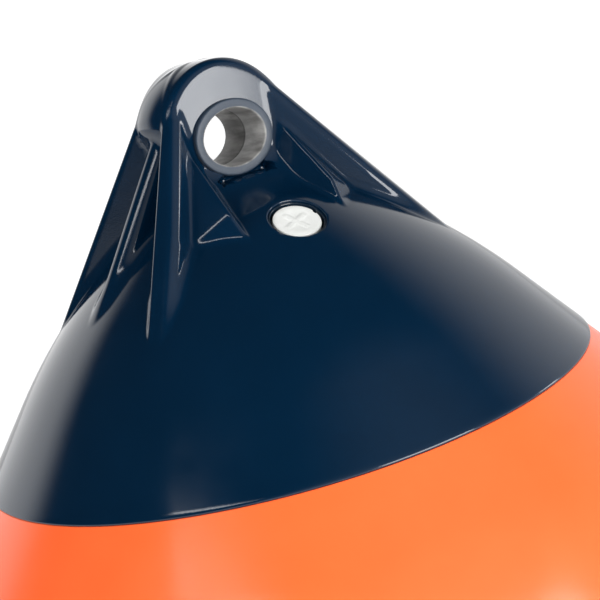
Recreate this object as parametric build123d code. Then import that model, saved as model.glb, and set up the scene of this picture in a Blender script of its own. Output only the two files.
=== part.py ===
from build123d import *
import math
import os

# Inflatable buoy: an air-filled ball whose top runs up into a moulded head with a rope eye.
# Millimetres, +Z up. The origin is on the axis at the waterline, and -Y faces the valve.
os.makedirs("parts", exist_ok=True)

# Ball and shoulder
ball_radius = 180.0
draught = 62.0
skin = 3.0
shoulder_slope = 51.4
crown_slope = 33.2
crown_radius = 240.7
crown_start_share = 0.723
keel_nub_radius = 9.0
keel_nub_height = 3.0
keel_nub_round = 1.5

# Head: the moulded cap, the lug over it and its ribs
eye_rise = 18.7
rim_share = 0.87
head_lip = 0.8
lap_depth = 1.2
lap_length = 14.0
lug_radius = 30.4
lug_thickness = 27.9
lug_half_width = 17.0
lug_edge_round = 4.0
corner_rib_azimuth = 31.5
corner_rib_slope = 54.9
side_rib_distance = 24.8
side_rib_slope = 52.6
rib_width = 8.0
rib_edge_round = 2.0
rib_root_radius = 4.0
rib_draft = 6.0

# Braces: two wedges on the front and two on the back, each rising to a crest beside the rope eye.
# Their corners are sizes out from the eye's centre: to the side, to the front and down.
brace_top = Vector(24.0, -20.0, -9.0)
brace_tip = Vector(20.4, -47.3, -34.6)
brace_foot = Vector(13.5, -23.0, -21.6)
brace_toe = Vector(48.8, -34.8, -41.5)
apron_foot = 23.5
apron_rise = 11.0

# Rope eye
eye_half_width = 13.5
eye_half_height = 10.9
bush_wall = 3.65
bush_stand = 2.0
bush_chamfer = 0.6

# Valve in the front of the head
recess_radius = 11.0
socket_depth = 21.0
socket_lip = 0.8
socket_edge = 0.3
boss_wall = 3.2
plug_face_depth = 2.6
plug_head_radius = 8.9
plug_head_thickness = 3.0
plug_stem_radius = 5.4
plug_stem_length = 12.0
plug_chamfer = 0.5
plug_notch_width = 2.2
plug_notch_depth = 0.9
plug_notch_azimuth = 40.0
thread_gap = 0.07
washer_radius = 8.2
washer_thickness = 0.9
washer_gap = 0.05
washer_bore_gap = 0.3

overrun = 5.0

# Places worked out from the sizes above
ball_centre = ball_radius - draught
slope = math.radians(shoulder_slope)
crown = math.radians(crown_slope)
shoulder_radius = ball_radius * math.sin(slope)
crown_start_radius = crown_start_share * shoulder_radius
rim_radius = rim_share * shoulder_radius
shoulder_z = ball_centre + ball_radius * math.cos(slope)
crown_start_z = shoulder_z + (shoulder_radius - crown_start_radius) * math.tan(slope)
crown_x = crown_start_radius - crown_radius * math.sin(slope)
crown_z = crown_start_z - crown_radius * math.cos(slope)
tip_start_radius = crown_x + crown_radius * math.sin(crown)
tip_radius = tip_start_radius / math.sin(crown)
tip_z = crown_z + crown_radius * math.cos(crown) - tip_radius * math.cos(crown)
eye_z = tip_z + tip_radius + eye_rise
bush_half_length = lug_thickness / 2 + bush_stand


def polar(cx, cz, radius, angle):
    """A point of the half section: angle 0 is straight up, and it grows outwards."""
    return (cx + radius * math.sin(angle), cz + radius * math.cos(angle))


def arc(cx, cz, radius, start, end):
    middle = (start + end) / 2
    return ThreePointArc(*[polar(cx, cz, radius, angle) for angle in (start, middle, end)])


def shoulder_point(radius, inset):
    """The point of the straight shoulder that is inset under the outer point at this radius."""
    z = crown_start_z - (radius - crown_start_radius) * math.tan(slope)
    return (radius - inset * math.sin(slope), z - inset * math.cos(slope))


def crown_line(inset, foot):
    """The half section from the tip down to a foot point on the straight shoulder."""
    return [
        arc(0, tip_z, tip_radius - inset, 0, crown),
        arc(crown_x, crown_z, crown_radius - inset, crown, slope),
        Line(polar(crown_x, crown_z, crown_radius - inset, slope), foot),
    ]


def turned(*edges):
    """A solid of revolution about the axis from the edges of its half section."""
    half = make_face(Plane.XZ * Wire(Curve() + list(edges)))
    return revolve(half, Axis.Z)


def belly_line(inset, foot):
    """The half section from a foot point on the straight shoulder down to the keel."""
    return [
        Line(foot, polar(0, ball_centre, ball_radius - inset, slope)),
        arc(0, ball_centre, ball_radius - inset, slope, math.pi),
    ]


lap_radius = rim_radius - lap_length * math.cos(slope)
rim_point = shoulder_point(rim_radius, 0)
rim_step = shoulder_point(rim_radius, lap_depth)
lap_top = shoulder_point(lap_radius, lap_depth)
lap_inner = shoulder_point(lap_radius, skin)


def make_float_body():
    keel_z = ball_centre - ball_radius
    shell = turned(
        *belly_line(0, rim_point),
        Line((0, keel_z), (0, keel_z + skin)),
        *belly_line(skin, lap_inner),
        Line(lap_inner, lap_top),
        Line(lap_top, rim_step),
        Line(rim_step, rim_point),
    )
    nub = Pos(0, 0, keel_z - keel_nub_height) * Cylinder(
        keel_nub_radius, keel_nub_height + skin / 2, align=(Align.CENTER, Align.CENTER, Align.MIN)
    )
    nub = fillet(nub.edges().sort_by(Axis.Z)[0], keel_nub_round)
    return shell + nub


def make_rib(distance, incline, azimuth):
    """A rib whose crest runs around the eye at a distance and then straight down its slope.

    The bend starts half way round, inside the lug, and the root passes close to the eye's centre.
    """
    tilt = math.radians(incline)
    half = rib_width / 2
    depth = distance - rib_root_radius
    root = half + depth * math.tan(math.radians(rib_draft))
    section = Polygon((-half, 0), (-root, -depth), (root, -depth), (half, 0), align=None)
    section = fillet(section.vertices().group_by(Axis.Y)[-1], rib_edge_round)
    start = Plane(
        origin=(distance * math.sin(tilt), 0, distance * math.cos(tilt)),
        x_dir=(0, 1, 0),
        z_dir=(math.cos(tilt), 0, -math.sin(tilt)),
    )
    run = extrude(start * section, amount=crown_start_radius)
    bend = revolve(start * section, Axis.Y, -incline / 2)
    return Pos(0, 0, eye_z) * Rot(0, 0, azimuth) * (run + bend)


def cut_under(solid, first, second, third):
    """Keeps what lies under the plane through three points."""
    normal = (second - first).cross(third - first)
    if normal.Z < 0:
        normal = -normal
    return split(solid, Plane(origin=first, z_dir=normal), keep=Keep.BOTTOM)


def make_brace():
    """The wedge on the front right: its crest runs from the corner rib down to the ball."""
    reach = crown_start_radius
    corner = (Align.MIN, Align.MAX, Align.CENTER)
    block = Pos(0, 0, -lug_radius) * Box(reach, reach, 2 * lug_radius, align=corner)
    block = cut_under(block, brace_top, brace_tip, brace_foot)
    block = cut_under(block, brace_top, brace_tip, brace_toe)
    rib_side = Plane(
        origin=(0, 0, 0), z_dir=Vector(1, 0, 0).rotate(Axis.Z, 90 - corner_rib_azimuth)
    )
    return split(block, rib_side, keep=Keep.BOTTOM)


def make_apron():
    """The sloped foot under the rope eye's front face."""
    face = lug_thickness / 2
    crest = (-face, -apron_rise)
    foot = (-apron_foot, -lug_radius)
    side = Polygon((0, -apron_rise), crest, foot, (0, -lug_radius), align=None)
    return extrude(Plane.YZ * side, amount=brace_foot.X, both=True)


def make_lug():
    arch = Circle(lug_radius) & Rectangle(2 * lug_half_width, 2 * lug_radius)
    leg_height = eye_rise + lug_radius
    legs = Pos(0, -leg_height / 2) * Rectangle(2 * lug_half_width, leg_height)
    lug = extrude(Plane.XZ * (arch + legs), amount=lug_thickness / 2, both=True)
    lug = fillet(lug.edges().filter_by(GeomType.CIRCLE), lug_edge_round)
    return Pos(0, 0, eye_z) * lug


def eye_plug_shape(half_width, half_height, half_length):
    oval = Plane.XZ * Ellipse(half_width, half_height)
    return Pos(0, 0, eye_z) * extrude(oval, amount=half_length, both=True)


mouth_radius, mouth_z = polar(0, tip_z, tip_radius + head_lip, crown)
valve_plane = Plane(
    origin=(0, -mouth_radius, mouth_z),
    x_dir=(1, 0, 0),
    z_dir=(0, -math.sin(crown), math.cos(crown)),
)


def valve_turned(radius, top, bottom):
    """A cylinder on the valve's axis between two depths under the mouth of its recess."""
    return valve_plane * Pos(0, 0, -bottom) * Cylinder(
        radius, bottom - top, align=(Align.CENTER, Align.CENTER, Align.MIN)
    )


def make_head():
    outer_foot = shoulder_point(rim_radius, -head_lip)
    shell = turned(
        *crown_line(-head_lip, outer_foot),
        Line(outer_foot, rim_step),
        Line(rim_step, lap_top),
        Line(lap_top, lap_inner),
        *crown_line(skin, lap_inner),
        Line((0, tip_z + tip_radius - skin), (0, tip_z + tip_radius + head_lip)),
    )
    cavity = turned(
        *crown_line(skin, lap_inner),
        Line(lap_inner, (0, lap_inner[1])),
        Line((0, lap_inner[1]), (0, tip_z + tip_radius - skin)),
    )
    solid = make_lug()
    for side in (0, 180):
        solid += make_rib(side_rib_distance, side_rib_slope, side)
        for azimuth in (-corner_rib_azimuth, corner_rib_azimuth):
            solid += make_rib(lug_radius, corner_rib_slope, side + azimuth)
    front = make_apron() + make_brace()
    front += mirror(make_brace(), Plane.YZ)
    solid += Pos(0, 0, eye_z) * front
    solid += Pos(0, 0, eye_z) * mirror(front, Plane.XZ)
    boss = valve_turned(recess_radius + boss_wall, skin, socket_depth)
    head = shell + (solid - cavity) + boss
    head -= eye_plug_shape(eye_half_width + bush_wall, eye_half_height + bush_wall, lug_radius)
    return head - valve_turned(recess_radius, -lug_radius, socket_depth + overrun)


def make_eye_bush():
    outer = eye_plug_shape(eye_half_width + bush_wall, eye_half_height + bush_wall, bush_half_length)
    bush = outer - eye_plug_shape(eye_half_width, eye_half_height, lug_radius)
    mouths = bush.faces().sort_by(Axis.Y)
    return chamfer(mouths[0].edges() + mouths[-1].edges(), bush_chamfer)


seat_depth = plug_face_depth + plug_head_thickness + washer_thickness + 2 * washer_gap


def make_valve_body():
    body = valve_turned(recess_radius, socket_edge, socket_depth)
    body -= valve_turned(recess_radius - socket_lip, -overrun, seat_depth)
    return body - valve_turned(plug_stem_radius + thread_gap, 0, socket_depth + overrun)


def make_valve_washer():
    floor = seat_depth - washer_gap
    washer = valve_turned(washer_radius, floor - washer_thickness, floor)
    return washer - valve_turned(plug_stem_radius + washer_bore_gap, 0, socket_depth)


def make_valve_plug():
    face = valve_turned(plug_head_radius, plug_face_depth, plug_face_depth + plug_head_thickness)
    face = chamfer(face.edges().filter_by(GeomType.CIRCLE), plug_chamfer)
    notch = Box(2 * plug_notch_depth, plug_notch_width, 2 * plug_head_thickness + overrun)
    notch = Rot(0, 0, plug_notch_azimuth) * Pos(plug_head_radius, 0, -plug_face_depth) * notch
    notch = valve_plane * notch
    stem_top = plug_face_depth + plug_head_thickness / 2
    stem = valve_turned(plug_stem_radius, stem_top, seat_depth + plug_stem_length)
    return face - notch + stem


nodes = {
    "float_body": make_float_body,
    "head": make_head,
    "eye_bush": make_eye_bush,
    "valve_body": make_valve_body,
    "valve_washer": make_valve_washer,
    "valve_plug": make_valve_plug,
}
for name, make in nodes.items():
    export_step(make(), f"parts/{name}.step")
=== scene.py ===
# %% [markdown]
# # An inflatable buoy
# The real thing is a ball of soft orange vinyl, blown up through a valve, with a thick navy head welded
# over its top. The head carries an oval rope eye in a lug, and ribs run from the lug down the ball.
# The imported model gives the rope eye's place, and each piece is modelled round it in metres.

# %% Load the frame
import math

import bpy
import bmesh
import numpy as np
from mathutils import Matrix, Vector


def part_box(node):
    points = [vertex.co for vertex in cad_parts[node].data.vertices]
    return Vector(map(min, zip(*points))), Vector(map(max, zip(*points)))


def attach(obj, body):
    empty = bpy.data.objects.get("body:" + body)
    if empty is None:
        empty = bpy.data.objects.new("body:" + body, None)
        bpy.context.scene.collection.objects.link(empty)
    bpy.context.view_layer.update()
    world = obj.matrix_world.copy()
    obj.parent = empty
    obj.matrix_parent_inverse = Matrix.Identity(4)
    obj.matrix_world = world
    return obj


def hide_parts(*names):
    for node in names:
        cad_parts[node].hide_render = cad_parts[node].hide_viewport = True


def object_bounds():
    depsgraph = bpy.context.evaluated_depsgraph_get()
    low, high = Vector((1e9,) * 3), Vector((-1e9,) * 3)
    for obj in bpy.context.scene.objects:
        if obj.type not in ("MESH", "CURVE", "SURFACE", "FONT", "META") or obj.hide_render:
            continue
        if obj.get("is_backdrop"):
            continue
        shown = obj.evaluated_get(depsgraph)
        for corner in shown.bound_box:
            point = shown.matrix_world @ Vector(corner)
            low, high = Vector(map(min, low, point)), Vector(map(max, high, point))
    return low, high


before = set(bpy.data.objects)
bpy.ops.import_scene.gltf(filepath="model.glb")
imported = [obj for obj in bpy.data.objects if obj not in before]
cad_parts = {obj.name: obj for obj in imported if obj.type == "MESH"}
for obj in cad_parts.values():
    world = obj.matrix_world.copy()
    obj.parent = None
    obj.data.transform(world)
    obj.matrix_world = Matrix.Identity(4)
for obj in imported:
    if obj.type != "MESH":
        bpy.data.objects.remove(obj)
cad_low, cad_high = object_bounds()
MM = 0.001
bush_low, bush_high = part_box("eye_bush")
EYE = (Vector(bush_low) + Vector(bush_high)) / 2
print("rope eye centre", tuple(round(c, 4) for c in EYE))

# %% [markdown]
# ## The camera
# It comes first, because every later choice is checked through it. A long lens, a little above the
# eye and off to the valve's left, rolled so that the buoy leans as it does on a photographer's table.

# %% Camera
AZIMUTH, ELEVATION, ROLL = math.radians(-29.54), math.radians(11.80), math.radians(-15.25)
LENS = 115.28
AIM_BELOW_EYE, AIM_TO_RIGHT, DISTANCE = 0.0708, 0.0153, 0.7592
back = Vector((
    math.sin(AZIMUTH) * math.cos(ELEVATION),
    -math.cos(AZIMUTH) * math.cos(ELEVATION),
    math.sin(ELEVATION),
))
right = Vector((math.cos(AZIMUTH), math.sin(AZIMUTH), 0))
up = back.cross(right)
turned_right = math.cos(ROLL) * right + math.sin(ROLL) * up
turned_up = math.cos(ROLL) * up - math.sin(ROLL) * right
camera_data = bpy.data.cameras.new("camera")
camera_data.lens = LENS
camera_data.sensor_width = 36
camera_data.clip_start = 0.01
camera = bpy.data.objects.new("camera", camera_data)
bpy.context.scene.collection.objects.link(camera)
place = Matrix((turned_right, turned_up, back)).transposed().to_4x4()
place.translation = EYE + Vector((0, 0, -AIM_BELOW_EYE)) + AIM_TO_RIGHT * right + DISTANCE * back
camera.matrix_world = place
bpy.context.scene.camera = camera
print("camera at", tuple(round(c, 3) for c in place.translation))

# %% [markdown]
# ## The line of the ball
# Seen from the side, the buoy is one smooth line: a small cap over the top, a slower arc, a straight
# shoulder and then the ball. Each part meets the next without a kink, so one helper gives any arc of
# it, and the same line serves the float, the head and the ribs that stand on it.

# %% Profile of the buoy
BALL = 180 * MM
DRAUGHT = 62 * MM
SHOULDER, CROWN = math.radians(51.4), math.radians(33.2)
CROWN_RADIUS = 240.7 * MM
CENTRE_Z = BALL - DRAUGHT
SHOULDER_RADIUS = BALL * math.sin(SHOULDER)
CROWN_START = 0.723 * SHOULDER_RADIUS
RIM = 0.87 * SHOULDER_RADIUS
CROWN_START_Z = CENTRE_Z + BALL * math.cos(SHOULDER) + (SHOULDER_RADIUS - CROWN_START) * math.tan(SHOULDER)
CROWN_X = CROWN_START - CROWN_RADIUS * math.sin(SHOULDER)
CROWN_Z = CROWN_START_Z - CROWN_RADIUS * math.cos(SHOULDER)
TIP = (CROWN_X + CROWN_RADIUS * math.sin(CROWN)) / math.sin(CROWN)
TIP_Z = CROWN_Z + CROWN_RADIUS * math.cos(CROWN) - TIP * math.cos(CROWN)
HEAD_LIP = 0.8 * MM


def arc_points(x, z, radius, start, end, count):
    """Points in the XZ plane on an arc, its angles measured from straight up."""
    angles = [start + (end - start) * k / count for k in range(count + 1)]
    return [Vector((x + radius * math.sin(a), 0, z + radius * math.cos(a))) for a in angles]


def shoulder_point(radius, inset):
    """The point that is inset under the straight shoulder's outer line at this radius."""
    z = CROWN_START_Z - (radius - CROWN_START) * math.tan(SHOULDER)
    return Vector((radius - inset * math.sin(SHOULDER), 0, z - inset * math.cos(SHOULDER)))


print("tip of the cap at", round(TIP_Z + TIP, 4), "eye above it", round(EYE.z - TIP_Z - TIP, 4))

# %% [markdown]
# ## Tools of the bench
# A turned piece is drawn as half its section, one extruded vertex after another, and spun about its
# axis. Everything is deselected before a new piece starts, because operators act on what is selected.


# %% Helpers for modelling
def deselect():
    """Leaves nothing selected and no mesh in edit mode."""
    if bpy.context.object and bpy.context.object.mode != "OBJECT":
        bpy.ops.object.mode_set(mode="OBJECT")
    bpy.ops.object.select_all(action="DESELECT")


def choose(piece):
    """Makes one piece the selected and active one."""
    deselect()
    piece.select_set(True)
    bpy.context.view_layer.objects.active = piece


def apply_place(piece):
    """Moves a piece's place, turn and scale into its mesh."""
    choose(piece)
    bpy.ops.object.transform_apply(location=True, rotation=True, scale=True)


def apply_modifier(piece, kind, **settings):
    """Adds a modifier with its settings and applies it at once."""
    choose(piece)
    modifier = piece.modifiers.new(kind.lower(), kind)
    for name, value in settings.items():
        setattr(modifier, name, value)
    bpy.ops.object.modifier_apply(modifier=modifier.name)


def turned_piece(name, points, steps):
    """Spins a line of points about the Z axis and closes it into a solid skin."""
    deselect()
    bpy.ops.mesh.primitive_plane_add(size=MM, location=points[0])
    piece = bpy.context.object
    piece.name = name
    bpy.ops.object.mode_set(mode="EDIT")
    bpy.ops.mesh.select_mode(type="VERT")
    bpy.ops.mesh.merge(type="CENTER")
    for here, there in zip(points, points[1:]):
        bpy.ops.mesh.extrude_region_move(TRANSFORM_OT_translate={"value": there - here})
    bpy.ops.mesh.select_all(action="SELECT")
    bpy.ops.mesh.spin(steps=steps, angle=math.tau, center=(0, 0, 0), axis=(0, 0, 1))
    bpy.ops.mesh.select_all(action="SELECT")
    bpy.ops.mesh.remove_doubles(threshold=0.005 * MM)
    bpy.ops.mesh.select_all(action="SELECT")
    bpy.ops.mesh.delete_loose()
    bpy.ops.mesh.select_all(action="SELECT")
    bpy.ops.mesh.normals_make_consistent(inside=False)
    bpy.ops.object.mode_set(mode="OBJECT")
    apply_place(piece)
    return piece


def smooth(piece, degrees):
    """Shades a piece smooth, with a crease wherever faces turn by more than the angle."""
    choose(piece)
    bpy.ops.object.shade_smooth_by_angle(angle=math.radians(degrees))


def report(piece):
    """Prints a piece's triangles, size and whether its skin is closed."""
    mesh = bmesh.new()
    mesh.from_mesh(piece.data)
    triangles = sum(len(f.verts) - 2 for f in mesh.faces)
    open_edges = sum(1 for e in mesh.edges if not e.is_manifold)
    volume = mesh.calc_volume(signed=True) * 1e6
    mesh.free()
    size = [round(d / MM, 1) for d in piece.dimensions]
    print(piece.name, triangles, "triangles,", size, "mm,", open_edges, "open edges,", round(volume), "cm3")


# %% [markdown]
# ## The float
# A blow-moulded ball of soft vinyl. It is a turned shell here: the outer line from the rim down to the
# keel, back up inside, and out over the step that the head laps on to.

# %% Float
SKIN = 3 * MM
LAP_DEPTH = 1.2 * MM
LAP_LENGTH = 14 * MM
NUB = ((9.0, 1.8), (8.6, 2.6), (7.6, 3.0), (0, 3.0))
lap_radius = RIM - LAP_LENGTH * math.cos(SHOULDER)
keel = CENTRE_Z - BALL
float_line = [shoulder_point(lap_radius, SKIN), shoulder_point(lap_radius, LAP_DEPTH)]
float_line += [shoulder_point(RIM, LAP_DEPTH), shoulder_point(RIM, 0.25 * MM)]
float_line += [shoulder_point(RIM + 0.2 * MM, 0)]
float_line += arc_points(0, CENTRE_Z, BALL, SHOULDER, math.radians(176.5), 110)
float_line += [Vector((r * MM, 0, keel - depth * MM)) for r, depth in NUB]
float_line += [Vector((0, 0, keel + SKIN))]
float_line += list(reversed(arc_points(0, CENTRE_Z, BALL - SKIN, SHOULDER, math.radians(179), 60)))
float_line += [shoulder_point(lap_radius, SKIN)]
ball = turned_piece("ball", float_line, steps=240)
smooth(ball, 32)
report(ball)

# %% [markdown]
# ## The head
# The head is one thick moulding. Its parts are added as plain solids first: the turned cap, a lug from
# half a disc and a block, a disc and a sloping bar for each rib, and a cut block for each brace. A voxel
# remesh welds them into one skin of even faces. What makes it look moulded is the soft meeting of its
# parts, so every point of the skin is then moved on to the exact surface, with its rounds and fillets.

# %% Sizes of the head, in millimetres from the rope eye's centre
# The lug: its arch's radius, half its thickness and half the width of its foot.
LUG, LUG_HALF, LUG_WIDTH = 30.4, 13.95, 17.0
TOP_CROWNING, SIDE_CROWNING = 0.3, 4.0
FLARE, FLARE_START, FLARE_RISE = 16, -12, 30
LUG_SHOULDER_ROUND, LUG_FACE_ROUND = 6.0, 3.6
# The corner ribs and the side ribs: turn from the X axis, distance of the crest, and slope in degrees.
RIBS = ((31.5, 30.4, 54.2), (0.0, 24.8, 52.6))
RIB_HALF, RIB_DRAFT, RIB_OVERLAP = 4.85, math.radians(5), 2
RIB_ROUND, RIB_SOFT_ROUND, SIDE_RIB_ROUND = 1.6, 3.8, 4.6
RIB_END, RIB_TAPER, RIB_TAPER_MOST = 54.0, 0.11, 3.4
# The corners of one brace; the other three mirror it.
BRACE_TOP = np.array((21.5, 20.0, -4.5))
BRACE_KNEE = np.array((23.1, 38.8, -23.5))
BRACE_TIP = np.array((21.4, 44.4, -33.6))
BRACE_FOOT = np.array((18.4, 32.8, -26.8))
LEDGE_BACK = np.array((30.1, 24.3, -18.9))
END_BACK = np.array((30.2, 32.3, -23.5))
BRACE_ROUND, BRACE_END_ROUND = 1.2, 0.5
# The sloping foot under the eye, as two points of its line in the YZ plane.
APRON_TOP, APRON_FOOT, APRON_HALF, APRON_OVERLAP = (13.95, -11.0), (23.5, -21.0), 24.0, 2
# The radii of the fillets where the parts meet.
APRON_JOIN, LUG_JOIN, BRACE_JOIN = 4.0, 1.0, 1.4
RIB_JOIN_LEAST, RIB_JOIN_MOST = 3, 8
FOOT_JOIN_LEAST, FOOT_JOIN_MOST, FOOT_JOIN_END = 0.4, 3.5, 80
eye_mm = EYE.z / MM


def plane_through(first, second, third):
    """The unit normal, pointing up, of the plane through three points."""
    normal = np.cross(second - first, third - first)
    normal = normal / np.linalg.norm(normal)
    return normal if normal[2] > 0 else -normal


inner_normal = plane_through(BRACE_TOP, BRACE_TIP, BRACE_FOOT)
ledge_normal = plane_through(BRACE_TOP, BRACE_KNEE, LEDGE_BACK)
end_normal = plane_through(BRACE_KNEE, BRACE_TIP, END_BACK)
BRACE_FACETS = ((BRACE_TOP, inner_normal), (BRACE_TOP, ledge_normal), (BRACE_KNEE, end_normal))
print("brace facets", inner_normal.round(3), ledge_normal.round(3), end_normal.round(3))


# %% Distances to the head's surfaces
def rounded_meet(a, b, radius):
    """Distance to what two solids share, with the edge between them rounded."""
    out = np.sqrt(np.maximum(a + radius, 0) ** 2 + np.maximum(b + radius, 0) ** 2)
    return np.minimum(np.maximum(a + radius, b + radius), 0) + out - radius


def filleted_join(a, b, radius):
    """Distance to two solids together, with a fillet where they meet."""
    near = np.sqrt(np.maximum(radius - a, 0) ** 2 + np.maximum(radius - b, 0) ** 2)
    return np.maximum(radius, np.minimum(a, b)) - near


def dome_distance(r, z):
    """Distance to the head's turned surface, at a radius and a height over the waterline."""
    crown_x, crown_z = CROWN_X / MM, CROWN_Z / MM
    angle = np.arctan2(r - crown_x, z - crown_z)
    cap = np.hypot(r, z - TIP_Z / MM) - TIP / MM
    crown = np.hypot(r - crown_x, z - crown_z) - CROWN_RADIUS / MM
    start_z = CROWN_START_Z / MM
    shoulder = (r - CROWN_START / MM) * math.sin(SHOULDER) + (z - start_z) * math.cos(SHOULDER)
    line = np.where(angle < CROWN, cap, np.where(angle > SHOULDER, shoulder, crown))
    return line - HEAD_LIP / MM


def rib_distance(x, y, z, azimuth, distance, incline):
    """Distance to a rib: a crest round the eye, then straight down, with drafted sides."""
    turn, tilt = math.radians(azimuth), math.radians(incline)
    along = x * math.cos(turn) + y * math.sin(turn)
    across = y * math.cos(turn) - x * math.sin(turn)
    bend = np.hypot(along, z) - distance
    run = along * math.sin(tilt) + z * math.cos(tilt) - distance
    crest = np.where(np.arctan2(along, z) < tilt, bend, run)
    crest = np.where(along < 0, bend, crest)
    taper = np.clip((RIB_END - along) * RIB_TAPER, 0, RIB_TAPER_MOST) if azimuth else 0
    draft = crest * math.tan(RIB_DRAFT)
    front = (across - RIB_HALF + taper + draft) * math.cos(RIB_DRAFT)
    back = (-across - RIB_HALF + draft) * math.cos(RIB_DRAFT)
    rib = rounded_meet(crest, back, RIB_ROUND if azimuth else SIDE_RIB_ROUND)
    rib = rounded_meet(rib, front, RIB_SOFT_ROUND if azimuth else SIDE_RIB_ROUND)
    return np.maximum(rib, -along - RIB_OVERLAP)


def lug_distance(x, y, z):
    """Distance to the lug: a full arch that narrows to a straight foot, its long edges rounded."""
    crowning = TOP_CROWNING + SIDE_CROWNING * np.clip(x / LUG, 0, 1) ** 2
    arch = np.where(z > 0, np.hypot(x, z), x) - LUG - TOP_CROWNING + crowning * (y / LUG_HALF) ** 2
    part = np.clip((z - FLARE_START) / FLARE_RISE, 0, 1)
    width = LUG_WIDTH + FLARE * part * part * (3 - 2 * part)
    lean = FLARE * 6 * part * (1 - part) / FLARE_RISE
    outline = rounded_meet(arch, (x - width) / np.sqrt(1 + lean * lean), LUG_SHOULDER_ROUND)
    return rounded_meet(outline, y - LUG_HALF, LUG_FACE_ROUND)


def brace_distance(x, y, z):
    """Distance to a brace: an inner side, a ledge beside the corner rib and a steep end."""
    sides = []
    for through, normal in BRACE_FACETS:
        sides.append(sum(n * (p - o) for n, p, o in zip(normal, (x, y, z), through)))
    turn = math.radians(RIBS[0][0])
    rib_side = x * math.sin(turn) - y * math.cos(turn)
    outer = rounded_meet(sides[1], sides[2], BRACE_END_ROUND)
    return np.maximum(rounded_meet(sides[0], outer, BRACE_ROUND), rib_side)


def stem_distance(x, y, z):
    """Distance to the lug with its sloping foot under the eye, and the ribs."""
    slope = np.array((APRON_TOP[1] - APRON_FOOT[1], APRON_FOOT[0] - APRON_TOP[0]))
    slope = slope / np.linalg.norm(slope)
    apron = slope[0] * (y - APRON_TOP[0]) + slope[1] * (z - APRON_TOP[1])
    apron = np.maximum(np.maximum(apron, x - APRON_HALF), APRON_TOP[0] - APRON_OVERLAP - y)
    stem = filleted_join(lug_distance(x, y, z), apron, APRON_JOIN)
    corner, side = (rib_distance(x, y, z, *sizes) for sizes in RIBS)
    ribs = filleted_join(corner, side, np.clip(4 + 0.4 * (z + 2), RIB_JOIN_LEAST, RIB_JOIN_MOST))
    return filleted_join(stem, ribs, LUG_JOIN)


def head_distance(points):
    """Distance from each point, in millimetres from the eye, to the finished head."""
    x, y, z = np.abs(points[:, 0]), np.abs(points[:, 1]), points[:, 2]
    radius = np.hypot(x, y)
    fillet = np.clip((FOOT_JOIN_END - radius) * 0.25, FOOT_JOIN_LEAST, FOOT_JOIN_MOST)
    stem = filleted_join(dome_distance(radius, z + eye_mm), stem_distance(x, y, z), fillet)
    return filleted_join(stem, brace_distance(x, y, z), BRACE_JOIN)


def head_slope(points):
    """The direction straight out of the head's surface at each point."""
    step = 0.05
    parts = []
    for axis in range(3):
        shift = np.zeros(3)
        shift[axis] = step
        parts.append(head_distance(points + shift) - head_distance(points - shift))
    slope = np.stack(parts, axis=1)
    return slope / np.maximum(np.linalg.norm(slope, axis=1, keepdims=True), 1e-9)


# %% Rough solids of the head
BAR_LENGTH, BRACE_BLOCK, BRACE_DEPTH = 100, 60, 66
ARCH_FROM = 4
BLOCK_HEIGHT, BLOCK_MIDDLE = 36, -12
CAP_END = math.radians(49.5)


def rough_block(centre, size, turn=(0, 0, 0)):
    """A block at a place in millimetres from the eye."""
    deselect()
    bpy.ops.mesh.primitive_cube_add(size=MM, location=EYE + Vector(centre) * MM, rotation=turn)
    block = bpy.context.object
    block.scale = size
    apply_place(block)
    return block


def trim(piece, point, normal, fill=True):
    """Cuts away what lies beyond a plane, given by a point in millimetres from the eye."""
    choose(piece)
    bpy.ops.object.mode_set(mode="EDIT")
    bpy.ops.mesh.select_all(action="SELECT")
    bpy.ops.mesh.bisect(plane_co=EYE + Vector(point) * MM, plane_no=normal, use_fill=fill, clear_outer=True)
    bpy.ops.object.mode_set(mode="OBJECT")


def rough_disc(radius, depth, turn):
    """A flat disc about the rope eye, its axis level."""
    deselect()
    bpy.ops.mesh.primitive_cylinder_add(
        vertices=96, radius=radius * MM, depth=depth * MM, location=EYE, rotation=(math.pi / 2, 0, turn)
    )
    disc = bpy.context.object
    apply_place(disc)
    return disc


def rough_rib(azimuth, distance, incline):
    """A disc for the rib's bend and a sloping bar for its run."""
    tilt = math.radians(incline)
    lean = Matrix.Rotation(azimuth, 3, "Z") @ Matrix.Rotation(tilt, 3, "Y")
    middle = lean @ Vector((BAR_LENGTH / 2, 0, distance / 2))
    bar = rough_block(middle, (BAR_LENGTH, 2 * RIB_HALF + 1, distance), lean.to_euler())
    return [bar, rough_disc(distance, 2 * RIB_HALF, azimuth)]


def rough_brace(side, face):
    """A block cut down to the facets of a brace."""
    half = BRACE_BLOCK / 2
    middle = (side * half, face * half, -BRACE_DEPTH / 2)
    block = rough_block(middle, (BRACE_BLOCK, BRACE_BLOCK, BRACE_DEPTH))
    turn = math.radians(RIBS[0][0])
    for (x, y, z), normal in (*BRACE_FACETS, ((0, 0, 0), (math.sin(turn), -math.cos(turn), 0))):
        trim(block, (side * x, face * y, z), (side * normal[0], face * normal[1], normal[2]))
    return block


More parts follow.
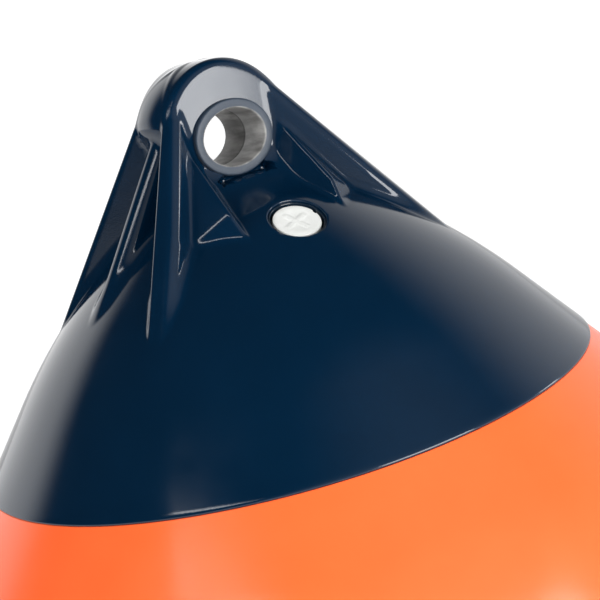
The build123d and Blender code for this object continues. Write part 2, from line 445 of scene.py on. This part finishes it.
cap_line = arc_points(0, TIP_Z, TIP + HEAD_LIP, 0, CROWN, 20)
cap_line += arc_points(CROWN_X, CROWN_Z, CROWN_RADIUS + HEAD_LIP, CROWN, CAP_END, 20)[1:]
cap_line += [Vector((0, 0, cap_line[-1].z)), cap_line[0]]
head = turned_piece("head_moulding", cap_line, steps=128)
arch = rough_disc(LUG, 2 * LUG_HALF, 0)
trim(arch, (0, 0, ARCH_FROM), (0, 0, -1))
rough = [arch, rough_block((0, 0, BLOCK_MIDDLE), (2 * LUG_WIDTH + 4, 2 * LUG_HALF, BLOCK_HEIGHT))]
for azimuth, distance, incline in RIBS:
    for turn in sorted({azimuth, -azimuth, 180 + azimuth, 180 - azimuth}):
        rough += rough_rib(math.radians(turn), distance, incline)
for side in (-1, 1):
    rough += [rough_brace(side, -1), rough_brace(side, 1)]
print(len(rough) + 1, "rough solids")

# %% Weld the head into one skin
# The dome is cut off at a height, and a spare band under it is kept until the skin has settled.
VOXEL = 0.75 * MM
CUT, SPARE = -67.0, 4
choose(head)
for solid in rough:
    solid.select_set(True)
bpy.ops.object.join()
apply_modifier(head, "REMESH", mode="VOXEL", voxel_size=VOXEL, adaptivity=0)
trim(head, (0, 0, CUT - SPARE), (0, 0, -1), fill=False)
report(head)


# %% Move the skin on to the moulded surface
def points_of(piece):
    """A piece's points, in millimetres from the eye."""
    points = np.empty(len(piece.data.vertices) * 3)
    piece.data.vertices.foreach_get("co", points)
    return points.reshape(-1, 3) / MM - np.array(EYE) / MM


def settle(piece, rounds):
    """Moves each point along the surface's slope until it lies on it, and returns the largest gap."""
    points = points_of(piece)
    for _ in range(rounds):
        gap = np.clip(head_distance(points), -1.0, 1.0)
        points -= gap[:, None] * head_slope(points)
    places = (points + np.array(EYE) / MM) * MM
    piece.data.vertices.foreach_set("co", places.ravel())
    piece.data.update()
    return float(np.abs(head_distance(points)).max())


for _ in range(3):
    settle(head, 2)
    apply_modifier(head, "SMOOTH", factor=0.5, iterations=3)
settle(head, 3)

# %% Spend fewer faces on the plain dome
CLEAR_OF_RIBS, KEPT_FACES = 4.5, 0.16
offsets = points_of(head)
spots = (np.abs(offsets[:, 0]), np.abs(offsets[:, 1]), offsets[:, 2])
plain = np.minimum(stem_distance(*spots), brace_distance(*spots)) > CLEAR_OF_RIBS
choose(head)
bpy.ops.object.mode_set(mode="EDIT")
bpy.ops.mesh.select_all(action="DESELECT")
bpy.ops.object.mode_set(mode="OBJECT")
head.data.vertices.foreach_set("select", plain)
bpy.ops.object.mode_set(mode="EDIT")
bpy.ops.mesh.decimate(ratio=KEPT_FACES)
bpy.ops.object.mode_set(mode="OBJECT")
print(int(plain.sum()), "plain points before, largest gap now, mm:", round(settle(head, 6), 4))
report(head)

# %% The skirt under the head's crown
trim(head, (0, 0, CUT), (0, 0, -1), fill=False)
crown_out = CROWN_RADIUS + HEAD_LIP
cut_angle = math.acos((EYE.z + (CUT - 0.6) * MM - CROWN_Z) / crown_out)
skirt_line = arc_points(CROWN_X, CROWN_Z, crown_out, cut_angle, SHOULDER, 16)
skirt_line += [shoulder_point(RIM - k * MM, -HEAD_LIP) for k in (15, 10, 6, 3, 1.5, 0.7)]
skirt_line += [shoulder_point(RIM - 0.3 * MM, -0.72 * MM), shoulder_point(RIM - 0.08 * MM, -0.5 * MM)]
skirt_line += [shoulder_point(RIM, -0.2 * MM), shoulder_point(RIM, LAP_DEPTH)]
skirt_line += [shoulder_point(lap_radius, LAP_DEPTH), shoulder_point(lap_radius, SKIN)]
skirt_line += list(reversed(arc_points(CROWN_X, CROWN_Z, CROWN_RADIUS - SKIN, CROWN, SHOULDER, 24)))
skirt_line += list(reversed(arc_points(0, TIP_Z, TIP - SKIN, 0, CROWN, 12)))[1:]
skirt = turned_piece("skirt", skirt_line, steps=240)
choose(head)
skirt.select_set(True)
bpy.ops.object.join()
bpy.ops.object.mode_set(mode="EDIT")
bpy.ops.mesh.select_mode(type="EDGE")
bpy.ops.mesh.select_all(action="DESELECT")
bpy.ops.mesh.select_non_manifold(extend=False, use_wire=False, use_boundary=True, use_multi_face=False)
bpy.ops.mesh.bridge_edge_loops()
bpy.ops.mesh.select_all(action="SELECT")
bpy.ops.mesh.normals_make_consistent(inside=False)
bpy.ops.object.mode_set(mode="OBJECT")
report(head)

# %% [markdown]
# ## Openings in the head
# The rope eye and the valve's recess are cut with clean tools after the skin is settled, because a
# remesh would blur their edges. The bush and the valve then stand in them.

# %% Cut the rope eye and the valve's recess
EYE_A, EYE_B, WALL = 13.5 * MM, 10.9 * MM, 3.65 * MM
VALVE_OUT = Vector((0, -math.sin(CROWN), math.cos(CROWN)))
VALVE_MOUTH = Vector((0, 0, TIP_Z)) + VALVE_OUT * (TIP + HEAD_LIP)
VALVE_PLACE = Matrix.Translation(VALVE_MOUTH) @ Matrix.Rotation(CROWN, 4, "X")
RECESS = 11 * MM


def cut_with(piece, tool):
    """Takes a tool's solid out of a piece and removes the tool."""
    apply_modifier(piece, "BOOLEAN", operation="DIFFERENCE", object=tool, solver="MANIFOLD")
    bpy.data.objects.remove(tool)


deselect()
bpy.ops.mesh.primitive_cylinder_add(vertices=160, radius=1, depth=80 * MM, rotation=(math.pi / 2, 0, 0))
eye_tool = bpy.context.object
eye_tool.scale = (EYE_A + WALL, EYE_B + WALL, 1)
eye_tool.location = EYE
apply_place(eye_tool)
cut_with(head, eye_tool)
deselect()
bpy.ops.mesh.primitive_cylinder_add(
    vertices=128, radius=RECESS, depth=40 * MM, location=VALVE_MOUTH, rotation=(CROWN, 0, 0)
)
recess_tool = bpy.context.object
apply_place(recess_tool)
cut_with(head, recess_tool)
lip_line = [Vector((0, 0, -2.2 * MM)), Vector((10.9 * MM, 0, -2.2 * MM))]
for angle in (0, 18, 36, 54, 72, 90):
    turn = math.radians(angle)
    lip_line.append(Vector((11.5 - 0.5 * math.cos(turn), 0, -1.3 + 0.5 * math.sin(turn))) * MM)
lip_line += [Vector((11.75, 0, -0.65)) * MM, Vector((12.0, 0, -0.2)) * MM, Vector((12.1, 0, 3)) * MM]
lip_line += [Vector((0, 0, 3)) * MM]
lip_tool = turned_piece("lip_tool", lip_line, steps=128)
lip_tool.data.transform(VALVE_PLACE)
cut_with(head, lip_tool)
smooth(head, 38)
report(head)

# %% [markdown]
# ## The bush in the rope eye
# A separate oval liner, harder than the head, so that a rope doesn't wear through the vinyl. It starts
# as a circle pulled into an oval, and each ring of its section is extruded and resized to the next.

# %% Bush
HALF_LENGTH = 15.95 * MM
EDGE = 0.75 * MM
quarter = [math.radians(a) for a in (0, 22.5, 45, 67.5, 90)]
section = [(EDGE * (1 - math.sin(a)), -HALF_LENGTH + EDGE * (1 - math.cos(a))) for a in quarter]
section += [(0.0, -1.0 * MM), (0.22 * MM, -0.45 * MM), (0.22 * MM, 0.45 * MM), (0.0, 1.0 * MM)]
section += [(EDGE * (1 - math.cos(a)), HALF_LENGTH - EDGE * (1 - math.sin(a))) for a in quarter]
section += [(WALL - EDGE * (1 - math.sin(a)), HALF_LENGTH - EDGE * (1 - math.cos(a))) for a in quarter]
section += [(WALL - EDGE * (1 - math.cos(a)), -HALF_LENGTH + EDGE * (1 - math.sin(a))) for a in quarter]
deselect()
bpy.ops.mesh.primitive_circle_add(
    vertices=128, radius=1, location=EYE + Vector((0, section[0][1], 0)), rotation=(math.pi / 2, 0, 0)
)
bush = bpy.context.object
bush.name = "eye_liner"
bush.scale = (EYE_A + section[0][0], EYE_B + section[0][0], 1)
apply_place(bush)
bpy.ops.object.mode_set(mode="EDIT")
bpy.ops.mesh.select_all(action="SELECT")
for (grow, y), (next_grow, next_y) in zip(section, section[1:]):
    wider = (EYE_A + next_grow) / (EYE_A + grow)
    taller = (EYE_B + next_grow) / (EYE_B + grow)
    bpy.ops.mesh.extrude_region_move(TRANSFORM_OT_translate={"value": (0, next_y - y, 0)})
    bpy.ops.transform.resize(value=(wider, 1, taller), center_override=EYE + Vector((0, next_y, 0)))
bpy.ops.mesh.select_all(action="DESELECT")
bpy.ops.mesh.select_non_manifold(extend=False, use_wire=False, use_boundary=True, use_multi_face=False)
bpy.ops.mesh.bridge_edge_loops()
bpy.ops.mesh.select_all(action="SELECT")
bpy.ops.mesh.remove_doubles(threshold=0.002 * MM)
bpy.ops.mesh.normals_make_consistent(inside=False)
bpy.ops.object.mode_set(mode="OBJECT")
smooth(bush, 30)
report(bush)

# %% [markdown]
# ## The valve
# Its socket, its plug and the washer under the plug's head all turn about one sloping axis. The socket and
# the plug are drawn upright at the origin, as depths under the recess's mouth, and then tipped into place;
# the washer is the imported one.


# %% Valve pieces
def valve_piece(name, line, steps):
    """Spins a line of (radius, depth) pairs and tips the piece on to the valve's axis."""
    piece = turned_piece(name, [Vector((r * MM, 0, -d * MM)) for r, d in line], steps=steps)
    piece.data.transform(VALVE_PLACE)
    return piece


SEAT, THREAD_START, PITCH, TURNS = 6.6, 7.6, 1.75, 5
HEAD_RADIUS, STEM, THREAD_ROOT, STEM_END = 9.2, 5.4, 5.0, 18.6
NOTCH = math.radians(8)
socket_line = [(10.2, SEAT), (10.2, 2.0), (10.26, 1.85), (10.4, 1.75), (10.8, 1.75), (10.94, 1.8)]
socket_line += [(11.0, 1.95), (11.0, 21.0), (5.47, 21.0), (5.47, SEAT + 0.5), (5.9, SEAT), (10.2, SEAT)]
socket = valve_piece("valve_socket", socket_line, steps=96)
smooth(socket, 35)
report(socket)

plug_line = [(0, 2.05), (3.0, 2.05), (5.6, 2.02), (6.3, 1.92), (7.6, 1.86), (8.5, 1.88)]
plug_line += [(8.95, 2.0), (9.15, 2.25), (HEAD_RADIUS, 2.6), (HEAD_RADIUS, 5.1)]
plug_line += [(9.05, 5.45), (8.7, 5.6), (STEM, 5.6)]
for turn in range(TURNS):
    top = THREAD_START + PITCH * turn
    plug_line += [(STEM, top), (THREAD_ROOT, top + 0.5), (THREAD_ROOT, top + 0.9), (STEM, top + 1.4)]
plug_line += [(STEM, 18.0), (5.0, STEM_END), (0, STEM_END)]
plug = valve_piece("valve_screw", plug_line, steps=128)

deselect()
bpy.ops.mesh.primitive_cube_add(size=MM)
notch_tool = bpy.context.object
notch_tool.scale = (1.8, 2.2, 8.0)
notch_tool.location = Vector((HEAD_RADIUS * math.cos(NOTCH), HEAD_RADIUS * math.sin(NOTCH), -4)) * MM
notch_tool.rotation_euler = (0, 0, NOTCH)
apply_place(notch_tool)
notch_tool.data.transform(VALVE_PLACE)
cut_with(plug, notch_tool)
smooth(plug, 30)
report(plug)

# %% [markdown]
# ## Finishes
# Blown and moulded vinyl is never quite flat: its gloss breaks over a very fine grain and a slow
# waviness, and it picks up dust and fine rubs. That effect is one node group, placed in each material
# with its own scales, so that all the finishes belong to one object.

# %% A node group for moulded skin
skin_group = bpy.data.node_groups.new("moulded_skin", "ShaderNodeTree")
for name in ("Grain scale", "Wave scale", "Grain height", "Wave height", "Roughness low", "Roughness high"):
    skin_group.interface.new_socket(name=name, in_out="INPUT", socket_type="NodeSocketFloat")
for name in ("Height", "Roughness", "Mottle"):
    skin_group.interface.new_socket(name=name, in_out="OUTPUT", socket_type="NodeSocketFloat")


def node(tree, kind, **inputs):
    """Adds a node and sets or links its inputs by name."""
    made = tree.nodes.new(kind)
    for name, value in inputs.items():
        target = made.inputs[name.replace("_", " ")]
        if isinstance(value, bpy.types.NodeSocket):
            tree.links.new(value, target)
        else:
            target.default_value = value
    return made


def maths(tree, operation, first, second=None, third=None):
    """A Math node on values or sockets."""
    made = tree.nodes.new("ShaderNodeMath")
    made.operation = operation
    for slot, value in enumerate((first, second, third)):
        if value is None:
            continue
        if isinstance(value, bpy.types.NodeSocket):
            tree.links.new(value, made.inputs[slot])
        else:
            made.inputs[slot].default_value = value
    return made.outputs[0]


def ramp(tree, value, start, end, low, high, kind="LINEAR"):
    """Turns a value that runs from start to end into one that runs from low to high."""
    made = node(
        tree, "ShaderNodeMapRange", Value=value, From_Min=start, From_Max=end, To_Min=low, To_Max=high
    )
    made.interpolation_type = kind
    return made.outputs["Result"]


def blend(tree, factor, first, second):
    """A mix of two colours, each given as three numbers or as a socket."""
    made = tree.nodes.new("ShaderNodeMix")
    made.data_type = "RGBA"
    tree.links.new(factor, made.inputs["Factor"])
    for name, colour in (("A", first), ("B", second)):
        if isinstance(colour, bpy.types.NodeSocket):
            tree.links.new(colour, made.inputs[name])
        else:
            made.inputs[name].default_value = (*colour, 1)
    return made.outputs["Result"]


entry = skin_group.nodes.new("NodeGroupInput")
leave = skin_group.nodes.new("NodeGroupOutput")
where = skin_group.nodes.new("ShaderNodeTexCoord").outputs["Object"]
grain = node(skin_group, "ShaderNodeTexNoise", Vector=where, Scale=entry.outputs["Grain scale"], Detail=3.0)
wave = node(skin_group, "ShaderNodeTexNoise", Vector=where, Scale=entry.outputs["Wave scale"], Detail=2.0)
fine = maths(skin_group, "MULTIPLY", grain.outputs["Fac"], entry.outputs["Grain height"])
slow = maths(skin_group, "MULTIPLY", wave.outputs["Fac"], entry.outputs["Wave height"])
skin_group.links.new(maths(skin_group, "ADD", fine, slow), leave.inputs["Height"])
patch = node(skin_group, "ShaderNodeTexNoise", Vector=where, Scale=55.0, Detail=5.0)
rough_range = (entry.outputs["Roughness low"], entry.outputs["Roughness high"])
spread = ramp(skin_group, patch.outputs["Fac"], 0.3, 0.7, *rough_range)
skin_group.links.new(spread, leave.inputs["Roughness"])
skin_group.links.new(patch.outputs["Fac"], leave.inputs["Mottle"])
print("group sockets:", [s.name for s in skin_group.interface.items_tree])


# %% Materials
def vinyl(name, dark, light, ior=1.5, **skin):
    """A moulded plastic: two close tones, the skin group, and a Principled surface."""
    material = bpy.data.materials.new(name)
    material.use_nodes = True
    tree = material.node_tree
    surface = tree.nodes["Principled BSDF"]
    group = tree.nodes.new("ShaderNodeGroup")
    group.node_tree = skin_group
    for key, value in skin.items():
        group.inputs[key.replace("_", " ")].default_value = value
    tree.links.new(blend(tree, group.outputs["Mottle"], dark, light), surface.inputs["Base Color"])
    tree.links.new(group.outputs["Roughness"], surface.inputs["Roughness"])
    bump = node(tree, "ShaderNodeBump", Height=group.outputs["Height"], Distance=0.0001, Strength=1.0)
    tree.links.new(bump.outputs["Normal"], surface.inputs["Normal"])
    surface.inputs["IOR"].default_value = ior
    return material


def lay_over(material, factor, colour):
    """Lays a colour over a material's own, as far as the factor says."""
    tree = material.node_tree
    base = tree.nodes["Principled BSDF"].inputs["Base Color"]
    tree.links.new(blend(tree, factor, base.links[0].from_socket, colour), base)


navy = vinyl(
    "navy_moulded_vinyl", (0.0003, 0.0093, 0.0255), (0.0005, 0.0122, 0.033),
    Grain_scale=1500.0, Grain_height=0.09, Wave_scale=40.0, Wave_height=0.4,
    Roughness_low=0.07, Roughness_high=0.13,
)
orange = vinyl(
    "orange_blown_vinyl", (0.98, 0.124, 0.030), (1.0, 0.142, 0.036), ior=1.4,
    Grain_scale=1500.0, Grain_height=0.10, Wave_scale=16.0, Wave_height=1.2,
    Roughness_low=0.17, Roughness_high=0.23,
)
grey = vinyl(
    "grey_liner_plastic", (0.016, 0.026, 0.042), (0.034, 0.048, 0.070), ior=1.38,
    Grain_scale=2600.0, Grain_height=0.5, Wave_scale=90.0, Wave_height=0.5,
    Roughness_low=0.34, Roughness_high=0.46,
)
black = vinyl(
    "dark_socket_plastic", (0.002, 0.008, 0.016), (0.004, 0.013, 0.028),
    Grain_scale=2600.0, Grain_height=0.2, Wave_scale=90.0, Wave_height=0.5,
    Roughness_low=0.12, Roughness_high=0.22,
)
rubber = vinyl(
    "washer_rubber", (0.006, 0.006, 0.006), (0.012, 0.012, 0.012),
    Grain_scale=2200.0, Grain_height=0.6, Wave_scale=90.0, Wave_height=0.5,
    Roughness_low=0.6, Roughness_high=0.75,
)
white = vinyl(
    "white_screw_plastic", (0.70, 0.71, 0.69), (0.75, 0.76, 0.74),
    Grain_scale=2600.0, Grain_height=0.3, Wave_scale=120.0, Wave_height=0.5,
    Roughness_low=0.30, Roughness_high=0.42,
)

# %% [markdown]
# The liner's bore is painted a light, warm, streaky grey, a painted reflection of the white room in its
# wall, while its ring keeps the cold grey of the moulding. The tone changes with the distance from the
# bore's middle, which Object coordinates give in metres, and it is darker along the seam halfway through
# the bore.


# %% Painted reflection in the bore
def bore_place(tree, spot):
    """How far a spot is from the bore's axis, where 1 is the bore's wall, and how far along it."""
    parts = tree.nodes.new("ShaderNodeSeparateXYZ")
    tree.links.new(spot, parts.inputs[0])
    across = maths(tree, "DIVIDE", parts.outputs["X"], EYE_A)
    lifted = maths(tree, "SUBTRACT", parts.outputs["Z"], EYE.z)
    upward = maths(tree, "DIVIDE", lifted, EYE_B)
    across_squared = maths(tree, "MULTIPLY", across, across)
    upward_squared = maths(tree, "MULTIPLY", upward, upward)
    squares = maths(tree, "ADD", across_squared, upward_squared)
    return maths(tree, "SQRT", squares), parts.outputs["Y"]


# Painted reflection: a dark and a light grey that stand in for the room mirrored in the bore's wall, and a
# darker tone for the seam halfway along it.
BORE_REFLECTION_DARK, BORE_REFLECTION_LIGHT, SEAM_DARK = (0.13, 0.128, 0.125), (0.36, 0.355, 0.345), (0.03, 0.03, 0.032)
tree = grey.node_tree
spot = tree.nodes.new("ShaderNodeTexCoord").outputs["Object"]
from_axis, along_bore = bore_place(tree, spot)
in_bore = ramp(tree, from_axis, 1.02, 1.06, 1.0, 0.0)
stretch = node(tree, "ShaderNodeMapping", Vector=spot)
stretch.inputs["Scale"].default_value = (260, 60, 260)
streaks = node(tree, "ShaderNodeTexNoise", Vector=stretch.outputs["Vector"], Scale=1.0, Detail=5.0)
# The painted reflection is a streaky blend of the two greys, stretched along the bore.
painted_bore_reflection = blend(tree, ramp(tree, streaks.outputs["Fac"], 0.35, 0.65, 0.0, 1.0), BORE_REFLECTION_DARK, BORE_REFLECTION_LIGHT)
off_seam = ramp(tree, maths(tree, "ABSOLUTE", along_bore), 0.2 * MM, 0.8 * MM, 0.35, 1.0)
lay_over(grey, in_bore, blend(tree, off_seam, SEAM_DARK, painted_bore_reflection))
print("bore wall at", round(EYE_A / MM, 1), "by", round(EYE_B / MM, 1), "mm")

# %% [markdown]
# The screw's white face is bare but for the faint marks that moulding and fingers leave: a low cross
# for turning it, so slight that it shows only as soft shade, and a trace of grey in soft patches.

# %% Marks on the screw's face
tree = white.node_tree
spot = tree.nodes.new("ShaderNodeTexCoord").outputs["Object"]
centred = node(tree, "ShaderNodeMapping", Vector=spot)
centred.vector_type = "TEXTURE"
centred.inputs["Location"].default_value = VALVE_MOUTH
centred.inputs["Rotation"].default_value = (CROWN, 0, math.radians(25))
parts = tree.nodes.new("ShaderNodeSeparateXYZ")
tree.links.new(centred.outputs["Vector"], parts.inputs[0])
arms = []
for one, other in (("X", "Y"), ("Y", "X")):
    near = maths(tree, "ABSOLUTE", parts.outputs[one])
    far = maths(tree, "ABSOLUTE", parts.outputs[other])
    width = ramp(tree, near, 0.6 * MM, 1.6 * MM, 1.0, 0.0)
    reach = ramp(tree, far, 4.8 * MM, 6.2 * MM, 1.0, 0.0)
    arms.append(maths(tree, "MULTIPLY", width, reach))
cross = maths(tree, "MAXIMUM", *arms)
skin_normal = tree.nodes["Bump"].outputs["Normal"]
marks = node(tree, "ShaderNodeBump", Height=cross, Distance=0.2 * MM, Strength=1.0, Normal=skin_normal)
tree.links.new(marks.outputs["Normal"], tree.nodes["Principled BSDF"].inputs["Normal"])
soil = node(tree, "ShaderNodeTexNoise", Vector=spot, Scale=260.0, Detail=4.0)
lay_over(white, ramp(tree, soil.outputs["Fac"], 0.35, 0.6, 0.0, 0.35), (0.62, 0.63, 0.60))

# %% Give each piece its finish
finishes = (
    (ball, orange, "orange_vinyl", "float_body", "buoy"),
    (head, navy, "navy_vinyl", "head", "buoy"),
    (bush, grey, "grey_bush", "eye_bush", "buoy"),
    (socket, black, "black_socket", "valve_body", "buoy"),
    (plug, white, "white_plug", "valve_plug", "plug"),
)
for piece, material, slot, replaced, body in finishes:
    piece.data.materials.clear()
    piece.data.materials.append(material)
    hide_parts(replaced)
    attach(piece, body)
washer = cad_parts["valve_washer"]
for slot in washer.material_slots:
    slot.material = rubber
if not washer.material_slots:
    washer.data.materials.append(rubber)
print("materials:", [m.name for m in bpy.data.materials])

# %% [markdown]
# ## The studio
# A white floor at the waterline and a white backdrop, which the camera sees. Navy gloss shows the whole
# room: it is dark overhead and to the left, pale in front, and bright to the right and behind the buoy.
# Soft boxes stand where the highlights on the lug, the ribs and the seam say that they stood.

# %% Floor
CAMERA_GLOW, GLOSS_GLOW = 0.85, 0.5
deselect()
bpy.ops.mesh.primitive_plane_add(size=12, location=(0, 0, 0))
floor = bpy.context.object
floor.name = "floor"
floor_material = bpy.data.materials.new("floor")
floor_material.use_nodes = True
tree = floor_material.node_tree
surface = tree.nodes["Principled BSDF"]
surface.inputs["Base Color"].default_value = (0.85, 0.85, 0.85, 1)
surface.inputs["Roughness"].default_value = 0.9
surface.inputs["Specular IOR Level"].default_value = 0.0
surface.inputs["Emission Color"].default_value = (1, 1, 1, 1)
paths = tree.nodes.new("ShaderNodeLightPath")
glow = maths(tree, "MULTIPLY", paths.outputs["Is Camera Ray"], CAMERA_GLOW)
glow = maths(tree, "MULTIPLY_ADD", paths.outputs["Is Glossy Ray"], GLOSS_GLOW, glow)
tree.links.new(glow, surface.inputs["Emission Strength"])
floor.data.materials.append(floor_material)
floor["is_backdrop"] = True

# %% World
ROOM_LEAST = 0.03
world = bpy.data.worlds.new("studio")
bpy.context.scene.world = world
world.use_nodes = True
sky = world.node_tree
background = sky.nodes["Background"]
paths = sky.nodes.new("ShaderNodeLightPath")
toward = sky.nodes.new("ShaderNodeTexCoord").outputs["Generated"]


def lobe(azimuth, start, end, strength):
    """A soft patch of the room's light, full where it faces an azimuth, measured from the front."""
    facing = sky.nodes.new("ShaderNodeVectorMath")
    facing.operation = "DOT_PRODUCT"
    sky.links.new(toward, facing.inputs[0])
    turn = math.radians(azimuth)
    facing.inputs[1].default_value = (math.sin(turn), -math.cos(turn), 0)
    return ramp(sky, facing.outputs["Value"], start, end, 0.0, strength, "SMOOTHSTEP")


# Each lobe: its azimuth, the cosines at which it starts and is full, and its strength.
room = maths(sky, "ADD", lobe(110, 0.50, 0.97, 0.95), lobe(182, 0.74, 0.90, 1.3))
room = maths(sky, "ADD", room, lobe(10, 0.35, 0.85, 0.5))
room = maths(sky, "ADD", room, ROOM_LEAST)
seen = maths(sky, "MAXIMUM", room, paths.outputs["Is Camera Ray"])
sky.links.new(seen, background.inputs["Strength"])
background.inputs["Color"].default_value = (1, 1, 1, 1)


# %% Soft boxes
def soft_box(name, azimuth, lift, distance, width, height, radiance):
    """A lit rectangle facing the rope eye; width and height are the angles it fills, in degrees."""
    turn, rise = math.radians(azimuth), math.radians(lift)
    away = Vector((math.sin(turn) * math.cos(rise), -math.cos(turn) * math.cos(rise), math.sin(rise)))
    data = bpy.data.lights.new(name, "AREA")
    data.shape = "RECTANGLE"
    data.size = 2 * distance * math.tan(math.radians(width / 2))
    data.size_y = 2 * distance * math.tan(math.radians(height / 2))
    data.energy = radiance * math.pi * data.size * data.size_y
    lamp = bpy.data.objects.new(name, data)
    bpy.context.scene.collection.objects.link(lamp)
    lamp.location = EYE + away * distance
    lamp.rotation_euler = away.to_track_quat("Z", "Y").to_euler()
    lamp.visible_camera = False
    print(name, "at", tuple(round(c, 2) for c in lamp.location))
    return lamp


# Each box: its azimuth, lift, distance in metres, width, height and radiance.
soft_box("front_box", 13, 1.5, 1.2, 35, 30, 10.6)
soft_box("left_box", -70, 44, 1.6, 28, 3.5, 8.0)
soft_box("right_box", 70, 2, 1.6, 12, 10, 9.0)
fill = soft_box("fill_box", -74, 20, 2.0, 50, 40, 4.2)
fill.visible_glossy = False

# %% Sizes and the end
bpy.context.scene.view_settings.view_transform = "Standard"
new_low, new_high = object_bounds()
for name, old, new in (("low", cad_low, new_low), ("high", cad_high, new_high)):
    print("the box's", name, "corner moves, in mm:", [round((b - a) / MM, 2) for a, b in zip(old, new)])
